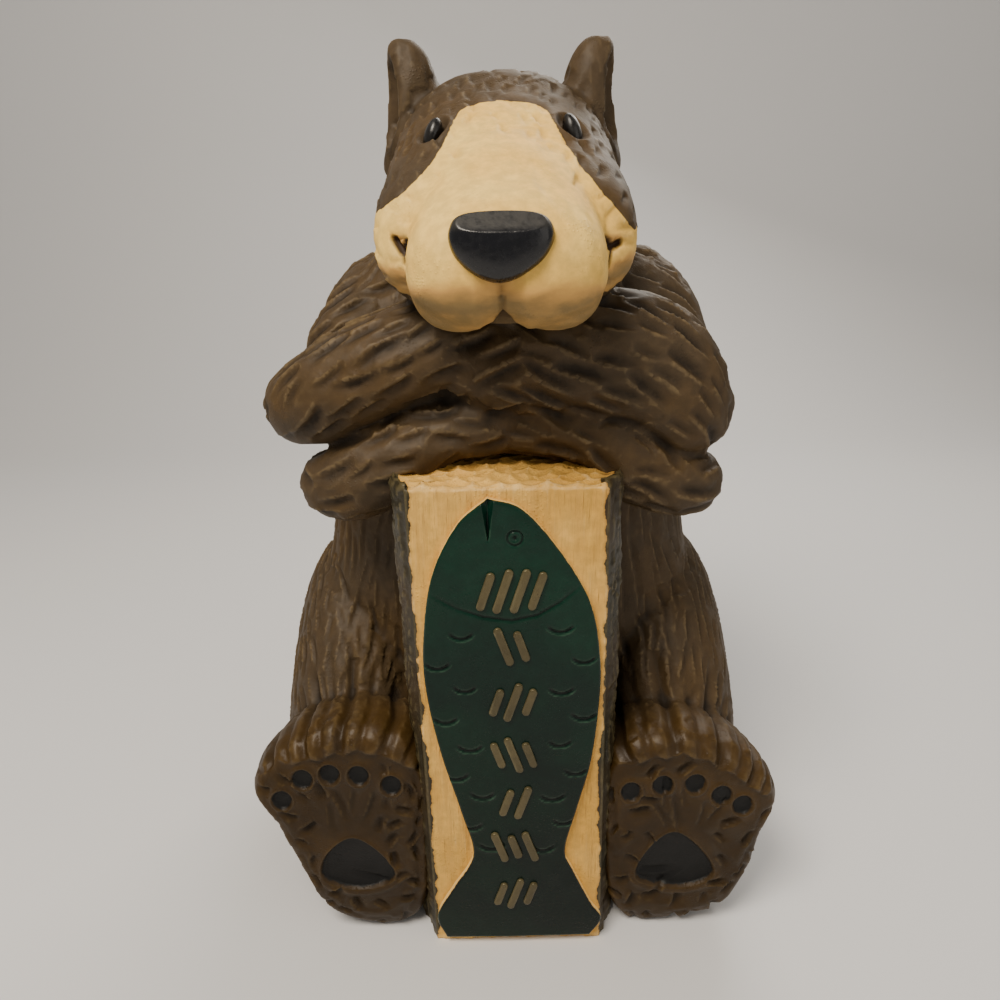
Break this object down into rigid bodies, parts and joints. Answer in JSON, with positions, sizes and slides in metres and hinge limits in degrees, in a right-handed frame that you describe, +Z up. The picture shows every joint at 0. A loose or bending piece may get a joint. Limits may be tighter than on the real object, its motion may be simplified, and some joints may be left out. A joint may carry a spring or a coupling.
{
  "type": "painted resin bear figurine with sign post",
  "caption": "Seated bear figurine in chainsaw-carved style, arms folded on a split-log post that carries a raised fish with shallow strokes.",
  "frame": {"origin": "on the floor at the middle of the whole piece's footprint box", "axes": "+Z up, the bear faces -Y, +X to the right of someone who looks at its face"},
  "size_m": [0.2537, 0.2675, 0.417],
  "materials": {
    "brown_paint": "satin, darker in the carved grooves, with a cream painted snout and charcoal pads",
    "log_paint": "matt to satin, cream sawn face with dark bark edges, dark green fish and bronze strokes",
    "gloss_black_paint": "gloss"
  },
  "bodies": {
    "root": {"bear": "brown_paint", "sign_post": "log_paint"}
  },
  "joints": []
}
